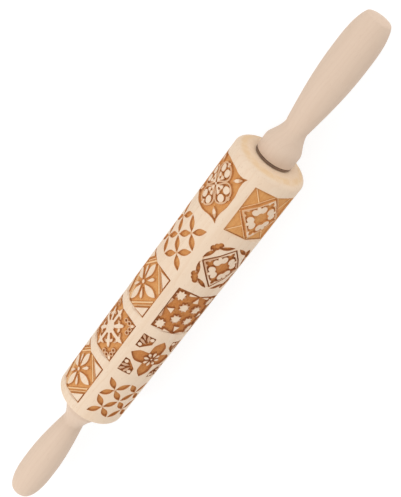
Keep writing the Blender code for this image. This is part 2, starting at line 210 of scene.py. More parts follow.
class TileQuarter:
    """One quarter of a tile's drawing, as distances on a fine grid of millimetres.

    The cut field is below zero inside what is cut and above it on what is left standing. The crest
    field is the distance from low ridges left on the floor of a cut.
    """

    reach_mm = 2.0
    pitch_mm = 0.12

    def __init__(self, half_cell: Share, half_tile: Share) -> None:
        """Lay out an uncut quarter.

        Args:
            half_cell: Half the cell's sides in millimetres.
            half_tile: Half the tile's sides in millimetres, which a share of 1 stands for.
        """
        self.half_cell = half_cell
        self.half_tile = np.array(half_tile)
        self.axes = [np.linspace(0, side, round(side / self.pitch_mm) + 1) for side in half_cell]
        self.grid = np.stack(np.meshgrid(*self.axes, indexing="ij"), -1)
        self.cut_mm = np.full(self.grid.shape[:2], self.reach_mm)
        self.crest_mm = np.full(self.grid.shape[:2], self.reach_mm)

    def placed(self, outlines: Iterable[Outline], both: bool = False) -> Iterator[tuple[Outline, Window]]:
        """The outlines in millimetres, each with the part of the grid that it can reach.

        Args:
            outlines: The outlines in shares.
            both: Whether each is followed by its swapped twin.

        Yields:
            An outline in millimetres and its window of the grid.
        """
        for outline in outlines:
            for drawn in (outline, swapped(outline))[:1 + both]:
                in_mm = drawn * self.half_tile
                lows, highs = in_mm.min(axis=0) - self.reach_mm, in_mm.max(axis=0) + self.reach_mm
                yield in_mm, tuple(slice(int(np.searchsorted(axis, low)), int(np.searchsorted(axis, high)))
                                   for axis, low, high in zip(self.axes, lows, highs))

    def distance(self, outline: Outline, place: Window, closed: bool = True) -> np.ndarray:
        """Distance of grid points from an outline, below zero inside a closed one.

        Args:
            outline: The outline in millimetres.
            place: The window of the grid.
            closed: Whether the outline's last point joins its first.

        Returns:
            The distances in millimetres.
        """
        points = self.grid[place]
        nearest = np.full(points.shape[:2], np.inf)
        inside = np.zeros(points.shape[:2], bool)
        ends = np.roll(outline, -1, axis=0) if closed else outline[1:]
        for start, end in zip(outline, ends):
            edge = end - start
            length = edge @ edge
            if length == 0:
                continue
            offset = points - start
            share = np.clip(offset @ edge / length, 0, 1)
            nearest = np.minimum(nearest, ((offset - share[..., None] * edge) ** 2).sum(-1))
            if closed and edge[1] != 0:
                spans = (start[1] > points[..., 1]) != (end[1] > points[..., 1])
                inside ^= spans & (offset[..., 0] < offset[..., 1] * edge[0] / edge[1])
        return np.where(inside, -1, 1) * np.sqrt(nearest)

    def cut(self, *outlines: Outline, both: bool = False) -> None:
        """Cut the inside of closed outlines."""
        for outline, place in self.placed(outlines, both):
            self.cut_mm[place] = np.minimum(self.cut_mm[place], self.distance(outline, place))

    def leave(self, *outlines: Outline, both: bool = False) -> None:
        """Leave the inside of closed outlines standing at full height."""
        for outline, place in self.placed(outlines, both):
            self.cut_mm[place] = np.maximum(self.cut_mm[place], -self.distance(outline, place))

    def groove(self, outline: Outline, width: float) -> None:
        """Cut a line of even width in millimetres along a closed outline."""
        for line, place in self.placed([outline]):
            away = np.abs(self.distance(line, place))
            self.cut_mm[place] = np.minimum(self.cut_mm[place], away - width / 2)

    def line(self, outline: Outline, width: float) -> None:
        """Leave a line of even width in millimetres standing along a closed outline and its twin."""
        for line, place in self.placed([outline], both=True):
            away = np.abs(self.distance(line, place))
            self.cut_mm[place] = np.maximum(self.cut_mm[place], width / 2 - away)

    def ridge(self, *paths: Outline) -> None:
        """Leave low ridges on the floor of a cut, along open paths."""
        for path, place in self.placed(paths):
            away = self.distance(path, place, closed=False)
            self.crest_mm[place] = np.minimum(self.crest_mm[place], away)

    def sample(self, values: np.ndarray, points: np.ndarray) -> np.ndarray:
        """Read a grid of values between its points.

        Args:
            values: The values on the grid.
            points: Where they are read, in millimetres.

        Returns:
            The values there.
        """
        base, share = [], []
        for i, axis in enumerate(self.axes):
            place = np.clip(points[:, i] / axis[1], 0, len(axis) - 1)
            whole = np.minimum(place.astype(int), len(axis) - 2)
            base.append(whole)
            share.append(place - whole)
        (i, j), (s, t) = base, share
        near = values[i, j] * (1 - t) + values[i, j + 1] * t
        far = values[i + 1, j] * (1 - t) + values[i + 1, j + 1] * t
        return near * (1 - s) + far * s


def contour(axes: Sequence[np.ndarray], values: np.ndarray) -> list[Outline]:
    """The lines along which a grid of values is zero.

    Args:
        axes: The grid's places in both directions.
        values: The values on the grid.

    Returns:
        The lines, a closed one with its first point again at its end.
    """
    values = np.where(values == 0, 1e-9, values)
    sign = values > 0
    links: dict[tuple, list[tuple]] = {}
    low, left, right, high = sign[:-1, :-1], sign[:-1, 1:], sign[1:, :-1], sign[1:, 1:]
    for i, j in np.argwhere((high != low) | (right != left) | (high != right)):
        corners = [(i, j), (i + 1, j), (i + 1, j + 1), (i, j + 1)]
        cuts = [tuple(sorted(side)) for side in zip(corners, corners[1:] + corners[:1])
                if sign[side[0]] != sign[side[1]]]
        if len(cuts) == 4 and sign[i, j] != (values[i:i + 2, j:j + 2].mean() > 0):
            cuts = cuts[1:] + cuts[:1]
        for start, end in zip(cuts[::2], cuts[1::2]):
            links.setdefault(start, []).append(end)
            links.setdefault(end, []).append(start)

    def place(side: tuple) -> tuple[float, ...]:
        """Where the zero crosses a side of a grid square."""
        start, end = side
        t = values[start] / (values[start] - values[end])
        return tuple(axis[a] + t * (axis[b] - axis[a]) for axis, a, b in zip(axes, start, end))

    lines, used = [], set()
    for first in sorted(links, key=lambda side: len(links[side])):
        if first in used:
            continue
        chain = [first]
        used.add(first)
        while onward := [side for side in links[chain[-1]] if side not in used]:
            chain.append(onward[0])
            used.add(onward[0])
        if len(chain) > 2 and first in links[chain[-1]]:
            chain.append(first)
        if len(chain) > 1:
            lines.append(np.array([place(side) for side in chain]))
    return lines


def simplified(line: Outline, tolerance: float) -> Outline:
    """A line without the points that it doesn't need.

    Args:
        line: The line's points, a closed one with its first point again at its end.
        tolerance: How far it may move.

    Returns:
        The points that stay, the two ends among them.
    """
    offset = line - line[0]
    x, y = offset[-1]
    closed = x == y == 0
    away = np.linalg.norm(offset, axis=1) if closed else np.abs(offset @ (y, -x)) / math.hypot(x, y)
    worst = int(np.argmax(away))
    if not closed and away[worst] <= tolerance:
        return line[[0, -1]]
    return np.vstack([simplified(line[:worst + 1], tolerance), simplified(line[worst:], tolerance)[1:]])


# The motifs. Each draws one quarter, and what crosses an axis is drawn whole.

def petal_lattice(tile: TileQuarter) -> None:
    """Petals cut between the nodes of a lattice, as where circles overlap."""
    width = 0.26
    tile.cut(petal((0.03, 0.03), (0.475, 0.475), width), petal((0.525, 0.525), (0.98, 0.98), width))
    tile.cut(petal((0.525, 0.475), (0.975, 0.025), width), both=True)


def ogee_medallion(tile: TileQuarter) -> None:
    """A pointed four-lobed medallion with four heart scrolls and a leaf in each tip."""
    side = smooth_path([(1.03, 0), (1.03, 0.22), (1.0, 0.4), (0.96, 0.56), (0.95, 0.72), (0.965, 0.87),
                        (1.03, 1.03)])
    tile.cut(eight_fold(side))
    half = smooth_path([(0.1, 0), (0.21, 0.14), (0.35, 0.31), (0.47, 0.395), (0.6, 0.4), (0.73, 0.325),
                        (0.83, 0.19), (0.84, 0.08), (0.775, 0.0)])
    tile.line(two_fold(half), 0.95)
    tile.leave(smooth_path([(0.12, 0), (0.26, 0.12), (0.38, 0.21), (0.42, 0.11), (0.4, 0), (0.42, -0.11),
                            (0.38, -0.21), (0.26, -0.12)], closed=True), both=True)
    tile.cut(oval((0.285, 0), (0.06, 0.045)), both=True)
    tile.leave(oval((0.6, 0.18), (0.15, 0.142)), oval((0.6, -0.18), (0.15, 0.142)), both=True)
    tile.leave(oval((0.885, 0), (0.04, 0.06)), both=True)
    tile.leave(petal((0.6, 0.58), (0.88, 0.9), 0.14), oval((0, 0), (0.05, 0.05)))


def blossom_lozenge(tile: TileQuarter) -> None:
    """A cut lozenge with trefoil tips and a blossom left standing in each quarter, joined to its frame."""
    tile.cut(four_fold(outline_of((0.79, 0), (0.4, 0.4), (0, 0.79))))
    tile.leave(oval((0.375, 0.165), (0.15, 0.125)), oval((0.68, 0.12), (0.06, 0.05)), both=True)
    tile.leave(oval((0.27, 0.27), (0.1, 0.1)), oval((0.36, 0.36), (0.075, 0.075)))


def envelope(tile: TileQuarter) -> None:
    """A cut square with creases from its corners to a framed lozenge of blossoms."""
    tile.cut(WHOLE_TILE)
    side = smooth_path([(0.89, 0), (0.71, 0.18), (0.54, 0.325), (0.425, 0.425)])
    tile.leave(eight_fold(side))
    blossom_lozenge(tile)
    tile.ridge(outline_of((1.0, 0.03), (0.05, 0.96)), outline_of((0.99, 0.95), (0.53, 0.5)))


def lozenge_and_sprigs(tile: TileQuarter) -> None:
    """A lozenge of blossoms inside a groove, with a sprig cut in each corner."""
    tile.groove(four_fold(outline_of((0.915, 0), (0.46, 0.46), (0, 0.915))), 0.95)
    blossom_lozenge(tile)
    tile.cut(oval((0.64, 0.885), (0.115, 0.105)), oval((0.875, 0.68), (0.105, 0.115)),
             oval((0.755, 0.775), (0.14, 0.11), math.pi / 4))
    leaf = smooth_path([(0.72, 0.74), (0.53, 0.79), (0.33, 0.89), (0.1, 1.0)])
    tile.cut(blade(leaf, 0.16, 0.55), both=True)
    tile.leave(oval((0.54, 0.86), (0.03, 0.025)), oval((0.86, 0.56), (0.025, 0.03)))


def framed_flower(tile: TileQuarter) -> None:
    """Corner triangles and bars round a flower with long and short petals."""
    tile.cut(WHOLE_TILE)
    tile.leave(outline_of((0.945, 0.945), (0.945, 0.46), (0.5, 0.945)))
    tile.leave(petal((0.16, 0), (0.9, 0), 0.31, 0.56, 0.85), both=True)
    tile.leave(petal((0.17, 0.15), (0.51, 0.43), 0.135, 0.66, 0.75), oval((0, 0), (0.075, 0.075)))
    tile.ridge(outline_of((0.97, 0.11), (0.2, 0.94)), outline_of((0.97, 0.165), (0.25, 0.94)),
               outline_of((0.97, 0.31), (0.38, 0.95)))


def star_field(tile: TileQuarter) -> None:
    """Stars left standing in a cut square, with triangles and slivers between them."""
    tile.cut(WHOLE_TILE)
    tile.leave(star((0.735, 0.73), 0.225, 0.15, 8), star((0.3, 0.29), 0.225, 0.15, 8))
    tile.leave(outline_of((0.89, 0), (0.63, 0.13), (0.63, -0.13)), both=True)
    tile.leave(outline_of((0.47, 0.98), (0.455, 0.875), (0.34, 0.89), (0.1, 0.96)), both=True)


def lily_cross(tile: TileQuarter) -> None:
    """A snowflake of eight thick lily arms left standing in a cut square, with scrolls in each corner."""
    tile.cut(WHOLE_TILE)
    tile.leave(oval((0, 0), (0.27, 0.27)))
    tile.leave(petal((0.1, 0), (0.8, 0), 0.14, 0.5, 0.25), petal((0.58, 0), (0.96, 0), 0.19, 0.35, 0.9),
               both=True)
    for side in (-1, 1):
        bar = smooth_path([(0.7, 0), (0.7, 0.1 * side), (0.68, 0.19 * side), (0.635, 0.27 * side)])
        tile.leave(blade(bar, 0.1, 0.3, 0.7), both=True)
    tile.leave(petal((0.12, 0.12), (0.6, 0.58), 0.17, 0.55, 0.5))
    prong = smooth_path([(0.37, 0.35), (0.35, 0.44), (0.28, 0.505), (0.165, 0.51)])
    tile.leave(blade(prong, 0.115, 0.45, 0.6), both=True)
    for centre in ((0.5, 0.845), (0.695, 0.86)):
        tile.line(oval(centre, (0.078, 0.08)), 0.6)
    tile.leave(petal((0.79, 0.79), (0.96, 0.96), 0.12))


def leaf_cross(tile: TileQuarter) -> None:
    """Four broad leaves cut round a small flower, and a palmette panel cut in each corner."""
    leaf = smooth_path([(0.97, 0), (0.86, 0.12), (0.74, 0.225), (0.64, 0.275), (0.5, 0.285)])
    leaf = np.vstack([leaf, (0.29, 0.28)])
    tile.cut(eight_fold(leaf))
    for turn in range(8):
        angle = turn * math.pi / 4
        reach = np.array([math.cos(angle), math.sin(angle)])
        tile.leave(petal(tuple(0.11 * reach), tuple(0.36 * reach), 0.12, 0.62, 0.75))
    tile.leave(oval((0, 0), (0.04, 0.04)))
    tile.cut(outline_of((1.0, 1.0), (0.345, 1.0), (0.345, 0.8), (0.68, 0.42), (1.0, 0.42)))
    tile.leave(oval((0.485, 0.87), (0.08, 0.085)), oval((0.88, 0.53), (0.08, 0.085)))
    tile.leave(petal((0.6, 0.66), (0.71, 1.0), 0.115, 0.6), petal((0.67, 0.6), (1.0, 0.75), 0.115, 0.6),
               petal((0.74, 0.76), (0.96, 0.99), 0.1, 0.6))


Motif = Callable[[TileQuarter], None]

# Rows from the near end; columns from under the -Y side over the top to under +Y
PATCHWORK: tuple[tuple[Motif, ...], ...] = (
    (petal_lattice, envelope, ogee_medallion, star_field),
    (framed_flower, lozenge_and_sprigs, petal_lattice, leaf_cross),
    (ogee_medallion, star_field, framed_flower, lozenge_and_sprigs),
    (envelope, leaf_cross, lily_cross, petal_lattice),
    (lily_cross, petal_lattice, framed_flower, ogee_medallion),
)
# How strongly each tile is burnt, in the same order. The second tile of the first row is set lower, which
# paints in light that falls on it near the end.
BURNS: tuple[tuple[float, ...], ...] = (
    (0.5, 0.28, 0.4, 0.6),
    (0.4, 0.75, 0.4, 0.6),
    (0.5, 0.85, 0.42, 0.5),
    (0.6, 0.8, 0.45, 0.4),
    (0.5, 0.55, 0.42, 0.5),
)


def deselect_all() -> None:
    """Leave nothing selected in object mode."""
    bpy.ops.object.select_all(action="DESELECT")


def pick(*objects: bpy.types.Object) -> None:
    """Select just these, with the first one active."""
    deselect_all()
    for obj in objects:
        obj.select_set(True)
    bpy.context.view_layer.objects.active = objects[0]


@contextmanager
def editing() -> Iterator[None]:
    """Edit the active piece with its whole mesh selected."""
    bpy.ops.object.mode_set(mode="EDIT")
    bpy.ops.mesh.select_all(action="SELECT")
    yield
    bpy.ops.object.mode_set(mode="OBJECT")


def tidied(obj: bpy.types.Object, angle: float) -> bpy.types.Object:
    """Put a piece's place into its mesh, turn its faces outwards and shade it by angle.

    Args:
        obj: The piece.
        angle: Edges sharper than this stay sharp.

    Returns:
        The same piece.
    """
    pick(obj)
    bpy.ops.object.transform_apply(location=True, rotation=True, scale=True)
    with editing():
        bpy.ops.mesh.normals_make_consistent(inside=False)
    bpy.ops.object.shade_smooth_by_angle(angle=angle)
    return obj


def select_ring(obj: bpy.types.Object, place: float, radius: float) -> None:
    """Select in edit mode the ring of vertices at a place on the axis with a radius."""
    bpy.ops.mesh.select_all(action="DESELECT")
    work = bmesh.from_edit_mesh(obj.data)
    world = obj.matrix_world
    for vert in work.verts:
        spot = world @ vert.co
        vert.select = max(abs(spot.x - place), abs(math.hypot(spot.y, spot.z) - radius)) < ROUNDING
    work.select_flush_mode()
    bmesh.update_edit_mesh(obj.data)


def close_pole(place: float) -> None:
    """Close the selected ring with a fan to one point at a place on the axis."""
    bpy.ops.mesh.extrude_region_move()
    bpy.ops.mesh.merge(type="COLLAPSE")
    here = bpy.context.edit_object
    work = bmesh.from_edit_mesh(here.data)
    middle = next(vert for vert in work.verts if vert.select)
    middle.co = here.matrix_world.inverted() @ Vector((place, 0.0, 0.0))
    bmesh.update_edit_mesh(here.data)


def turned(name: str, outline: Sequence[Station], sides: int, closed: bool = False) -> bpy.types.Object:
    """Turn an outline about the X axis by extruding a ring from station to station.

    Args:
        name: The piece's name.
        outline: Places on the axis with their radii; a radius of 0 at an end closes it there.
        sides: Faces round it.
        closed: Whether the outline returns to its first station.

    Returns:
        The piece, in object mode.
    """
    first_pole = outline[0][0] if outline[0][1] == 0 else None
    last_pole = outline[-1][0] if outline[-1][1] == 0 else None
    stations = [station for station in outline if station[1] > 0]
    if closed:
        stations.append(stations[0])
    deselect_all()
    start, radius = stations[0]
    bpy.ops.mesh.primitive_circle_add(vertices=sides, radius=radius, location=(start, 0, 0),
                                      rotation=(0, math.pi / 2, 0))
    obj = bpy.context.object
    obj.name = obj.data.name = name
    with editing():
        for (here, inner), (there, outer) in pairwise(stations):
            bpy.ops.mesh.extrude_region_move(TRANSFORM_OT_translate={"value": (there - here, 0, 0)})
            bpy.ops.transform.resize(value=(1, outer / inner, outer / inner), center_override=(there, 0, 0))
        if last_pole is not None:
            close_pole(last_pole)
        if first_pole is not None:
            select_ring(obj, *stations[0])
            close_pole(first_pole)
        if closed:
            bpy.ops.mesh.select_all(action="SELECT")
            bpy.ops.mesh.remove_doubles(threshold=MERGE_DISTANCE)
    return obj


def eased(outline: Sequence[Station], radius: float, steps: int = 3) -> list[Station]:
    """Round the inner corners of an outline.

    Args:
        outline: Places on the axis with their radii.
        radius: How far from each corner the rounding begins.
        steps: Pieces of each rounding.

    Returns:
        The outline with its corners rounded, and its two ends as they were.
    """
    out = [outline[0]]
    for before, corner, after in zip(outline, outline[1:], outline[2:]):
        middle = Vector(corner)
        legs = [Vector(other) - middle for other in (before, after)]
        start, end = (middle + leg.normalized() * min(radius, leg.length * LEG_SHARE) for leg in legs)
        for step in range(steps + 1):
            t = step / steps
            out.append(tuple((1 - t) ** 2 * start + 2 * t * (1 - t) * middle + t ** 2 * end))
    return out + [outline[-1]]


def both_ends(outline: Sequence[Station]) -> list[Station]:
    """An outline that ends at the pin's middle, carried on to its mirror image."""
    return [*outline, *((-place, radius) for place, radius in outline[-2::-1])]


@dataclass
class CarvedRoller:
    """The wooden roller with its engraved skin, rounded rims, and pockets for the bushes.

    The rims and the inside are turned with edit-mode tools. No such tool cuts the fine drawn relief, so
    the skin's mesh is worked out from its lines.
    """

    radius: float = ROLLER_RADIUS
    length: float = 224.0 * MM
    shift: float = ROLLER_SHIFT
    rim_length: float = 4.5 * MM
    rim_drop: float = 7.9 * MM
    rim_steps: int = 18
    tile_length: float = 34.4 * MM
    row_gap: float = 7.9 * MM
    column_gap: float = 6.6 * MM
    depth: float = 1.2 * MM
    flange_pocket: float = 9.8 * MM
    flange_pocket_depth: float = 3.9 * MM
    bush_pocket: float = 7.1 * MM
    bush_pocket_depth: float = 17.9 * MM
    bore: float = 5.6 * MM
    pocket_ease: float = 0.3 * MM
    wall_mm: float = 0.3
    ridge_mm: float = 0.55
    ridge_top_mm: float = 0.06
    ridge_share: float = 0.6
    spacing_mm: float = 1.35
    clear_share: float = 0.42
    line_step_mm: float = 0.3
    border_clear_mm: float = 0.4
    tolerance_mm: float = 0.03
    weld_mm: float = 1e-5
    smallest_area_mm: float = 1e-7
    steps_along: int = 14
    steps_around: int = 12
    smooth_angle: float = math.radians(32)

    @property
    def rows(self) -> int:
        """Rows of tiles along the roller."""
        return len(PATCHWORK)

    @property
    def columns(self) -> int:
        """Columns of tiles round the roller."""
        return len(PATCHWORK[0])

    @property
    def cell(self) -> Share:
        """The sides of one cell of the pattern, in metres: a tile with half the gaps round it."""
        return self.tile_length + self.row_gap, 2 * math.pi * self.radius / self.columns

    @property
    def skin_end(self) -> float:
        """Where the patterned skin ends, from the roller's middle."""
        return self.rows * self.cell[0] / 2

    def draw(self, motif: Motif) -> TileQuarter:
        """Draw one quarter of a motif."""
        along, around = self.cell
        half_tile = (self.tile_length / 2 / MM, (around - self.column_gap) / 2 / MM)
        tile = TileQuarter((along / 2 / MM, around / 2 / MM), half_tile)
        motif(tile)
        return tile

    def lines(self, tile: TileQuarter) -> list[Outline]:
        """The lines that the quarter's mesh has to follow: edges, feet of walls, and ridges.

        Args:
            tile: The drawn quarter.

        Returns:
            The lines in millimetres.
        """
        foot = tile.cut_mm + self.wall_mm
        fields = [tile.cut_mm, foot] + [np.minimum(half_width - tile.crest_mm, -foot)
                                        for half_width in (self.ridge_mm, self.ridge_top_mm)]
        lines = [line for field in fields for line in contour(tile.axes, field)]
        return [simplified(line, self.tolerance_mm) for line in lines if len(line) > 2]

    def loose_points(self, tile: TileQuarter, lines: Sequence[Outline]) -> np.ndarray:
        """Points spread over the quarter away from its lines and borders.

        Args:
            tile: The drawn quarter.
            lines: The lines that the mesh follows.

        Returns:
            The points in millimetres.
        """
        pitch = self.spacing_mm
        length, width = tile.half_cell
        rows = np.arange(pitch / 2, width - pitch / 4, pitch * math.sqrt(0.75))
        spread = np.array([(place + (i % 2) * pitch / 2, row) for i, row in enumerate(rows)
                           for place in np.arange(pitch / 2, length - pitch * 0.7, pitch)])
        dense = []
        for line in lines:
            for start, end in pairwise(line):
                count = max(1, math.ceil(np.linalg.norm(end - start) / self.line_step_mm))
                dense.append(start + np.arange(count + 1)[:, None] / count * (end - start))
        crowd = np.vstack(dense)
        away = [np.linalg.norm(crowd - point, axis=1).min() for point in spread]
        return spread[np.array(away) >= pitch * self.clear_share]

    def mesh_quarter(self, tile: TileQuarter) -> tuple[np.ndarray, np.ndarray, np.ndarray]:
        """Triangulate a quarter.

        Args:
            tile: The drawn quarter.

        Returns:
            Its points in millimetres, its triangles, and each point's cut distance, ridge and depth share.
        """
        length, width = tile.half_cell
        lines = self.lines(tile)
        points: list[np.ndarray] = []
        edges: list[tuple[int, int]] = []
        for line in lines:
            first = sum(map(len, points))
            points.append(line)
            edges += [(first + i, first + i + 1) for i in range(len(line) - 1)]
        along = np.linspace(0, length, self.steps_along + 1)
        around = np.linspace(0, width, self.steps_around + 1)
        points.append(np.column_stack([along, np.full(len(along), width)]))
        points.append(np.column_stack([np.full(len(around) - 1, length), around[:-1]]))
        ends = [line[k] for line in lines for k in (0, -1)]
        for i, axis in enumerate((along, around)):
            taken = [spot[i] for spot in ends if spot[1 - i] < ROUNDING]
            free = [place for place in axis[:-1]
                    if all(abs(place - other) > self.border_clear_mm for other in taken)]
            border = np.zeros((len(free), 2))
            border[:, i] = free
            points.append(border)
        points.append(self.loose_points(tile, lines))
        flat = [Vector(point) for point in np.vstack(points)]
        verts, _, faces, *_ = delaunay_2d_cdt(flat, edges, [], 0, self.weld_mm)
        spots = np.array([tuple(vert) for vert in verts])
        cut = tile.sample(tile.cut_mm, spots)
        crest = tile.sample(tile.crest_mm, spots)
        wall = np.clip(-cut / self.wall_mm, 0, 1)
        ridge = np.clip(1 - crest / self.ridge_mm, 0, 1)
        triangles = np.array([face for face in faces if len(face) == 3])
        first, second, third = (spots[triangles[:, k]] for k in range(3))
        (x1, y1), (x2, y2) = (second - first).T, (third - first).T
        area = x1 * y2 - y1 * x2
        triangles[area < 0] = triangles[area < 0][:, ::-1]
        triangles = triangles[np.abs(area) > self.smallest_area_mm]
        return spots, triangles, np.column_stack([cut, ridge, wall * (1 - self.ridge_share * ridge)])

    def build_skin(self) -> bpy.types.Object:
        """Lay every tile round the cylinder.

        Returns:
            The carved skin, open at both ends.
        """
        length, width = self.cell
        quarters = {motif: self.mesh_quarter(self.draw(motif)) for row in PATCHWORK for motif in row}
        spots, faces, marks = [], [], []
        count = 0
        for row, motifs in enumerate(PATCHWORK):
            place = ((self.rows - 1) / 2 - row) * length + self.shift
            for column, motif in enumerate(motifs):
                middle = (column - (self.columns - 1) / 2) * width / self.radius
                flat, triangles, values = quarters[motif]
                for mirror in ((1, 1), (-1, 1), (-1, -1), (1, -1)):
                    along, around = (flat * mirror * MM).T
                    radius = self.radius - self.depth * values[:, 2]
                    angle = middle + around / self.radius
                    spots.append(np.column_stack([place + along, radius * np.sin(angle),
                                                  radius * np.cos(angle)]))
                    turn = 1 if mirror[0] * mirror[1] > 0 else -1
                    faces.append(triangles[:, ::turn] + count)
                    # Each tile's burn, with the painted light in one of them, goes to its points
                    marks.append(np.column_stack([values[:, :2], np.full(len(flat), BURNS[row][column])]))
                    count += len(flat)
        mesh = bpy.data.meshes.new("carved_roller")
        mesh.from_pydata(np.vstack(spots).tolist(), [], np.vstack(faces).tolist())
        for name, values in zip(("cut_edge", "crest", "burn"), np.vstack(marks).T):
            layer = mesh.attributes.new(name, "FLOAT", "POINT")
            layer.data.foreach_set("value", values.astype(np.float32))
        obj = bpy.data.objects.new("carved_roller", mesh)
        bpy.context.scene.collection.objects.link(obj)
        return obj

    def build_core(self) -> bpy.types.Object:
        """Turn the rims, end faces, pockets and bore, from one edge of the skin to the other.

        Returns:
            The core, open where the skin meets it.
        """
        half = self.length / 2
        start = half - self.rim_length
        outline = [(self.skin_end, self.radius), (start, self.radius)]
        for step in range(1, self.rim_steps):
            angle = math.pi / 2 * step / self.rim_steps
            outline.append((start + self.rim_length * math.sin(angle),
                            self.radius - self.rim_drop * (1 - math.cos(angle))))
        face_edge = self.radius - self.rim_drop
        flange_floor, bush_floor = half - self.flange_pocket_depth, half - self.bush_pocket_depth
        inner = [(half, face_edge), (half, (face_edge + self.flange_pocket) / 2),
                 (half, self.flange_pocket), (flange_floor, self.flange_pocket),
                 (flange_floor, self.bush_pocket), (bush_floor, self.bush_pocket),
                 (bush_floor, self.bore), (0.0, self.bore)]
        outline = both_ends(outline + eased(inner, self.pocket_ease))
        return turned("roller_core", [(place + self.shift, radius) for place, radius in outline],
                      2 * self.steps_around * self.columns)

    def build(self) -> bpy.types.Object:
        """Make the roller.

        Returns:
            The finished piece.
        """
        skin = self.build_skin()
        pick(skin, self.build_core())
        bpy.ops.object.join()
        with editing():
            bpy.ops.mesh.remove_doubles(threshold=MERGE_DISTANCE)
        self.mark_core(skin)
        return tidied(skin, self.smooth_angle)

    def mark_core(self, obj: bpy.types.Object) -> None:
        """Say that the rims, ends and bore are far from any cut."""
        deepest = self.radius - 2 * self.depth
        values = obj.data.attributes["cut_edge"].data
        for vert in obj.data.vertices:
            x, y, z = vert.co
            if abs(x - self.shift) > self.skin_end - 10 * ROUNDING or math.hypot(y, z) < deepest:
                values[vert.index].value = TileQuarter.reach_mm


@dataclass
class Handle:
    """One turned handle: collar, neck, swelling grip and rounded nose, with the axle's hole."""

    side: Side
    base: float = 113.2 * MM
    collar_radius: float = 12.4 * MM
    collar_length: float = 9.5 * MM
    collar_ease: float = 0.5 * MM
    cove_length: float = 14.0 * MM
    neck_radius: float = 7.75 * MM
    swell_length: float = 48.7 * MM
    grip_radius: float = 12.0 * MM
    nose_length: float = 29.2 * MM
    tip_radius: float = 8.1 * MM
    tip_dome: float = 1.4 * MM
    hole_radius: float = AXLE_BORE
    hole_depth: float = 58.3 * MM
    cove_power: float = 1.1
    nose_power: float = 3.2
    nose_reach: float = 0.93
    nose_crowding: float = 1.4
    tip_ease: float = 0.8 * MM
    collar_shares: tuple[float, ...] = (0.6, 0.88)
    face_shares: tuple[float, ...] = (0.78, 0.6, 0.42, 0.25, 0.1)
    cove_stations: int = 17
    swell_stations: int = 19
    nose_stations: int = 18
    sides: int = 96
    smooth_angle: float = math.radians(40)

    def outline(self) -> list[Station]:
        """The handle's section: (height from its base, radius), from the hole's end to the tip."""
        neck_at = self.collar_length + self.cove_length
        grip_at = neck_at + self.swell_length
        nose_end = grip_at + self.nose_length
        mouth = [(self.hole_depth, self.hole_radius), (0.0, self.hole_radius), (0.0, self.collar_radius),
                 (self.collar_length, self.collar_radius)]
        outline = [(self.hole_depth, 0.0)] + eased(mouth, self.collar_ease, 4)[:-1]
        outline += [(self.collar_length * share, self.collar_radius) for share in self.collar_shares]
        top = self.collar_radius - self.collar_ease / 2
        fall, rise = self.collar_radius - self.neck_radius, self.grip_radius - self.neck_radius
        for share in np.linspace(0, 1, self.cove_stations)[:-1]:
            drop = fall * math.sin(math.pi / 2 * share) ** self.cove_power
            outline.append((self.collar_length + self.cove_length * share, top - drop))
        for share in np.linspace(0, 1, self.swell_stations)[:-1]:
            swell = rise * math.sin(math.pi / 2 * share)
            outline.append((neck_at + self.swell_length * share, self.neck_radius + swell))
        for share in self.nose_reach * (1 - np.linspace(1, 0, self.nose_stations) ** self.nose_crowding):
            loss = (self.grip_radius ** 2 - self.tip_radius ** 2) * share ** self.nose_power
            outline.append((grip_at + self.nose_length * share, math.sqrt(self.grip_radius ** 2 - loss)))
        face = [(nose_end + self.tip_dome * (1 - share ** 2), self.tip_radius * share)
                for share in self.face_shares]
        edge = eased([outline[-1], (nose_end, self.tip_radius), face[0]], self.tip_ease, 6)[1:-1]
        return outline + edge + face + [(nose_end + self.tip_dome, 0.0)]

    def build(self) -> bpy.types.Object:
        """Turn the handle.

        Returns:
            The finished piece.
        """
        direction = self.side.value
        stations = [(direction * (self.base + height), radius) for height, radius in self.outline()]
        return tidied(turned(f"{self.side.word}_turned_handle", stations, self.sides), self.smooth_angle)


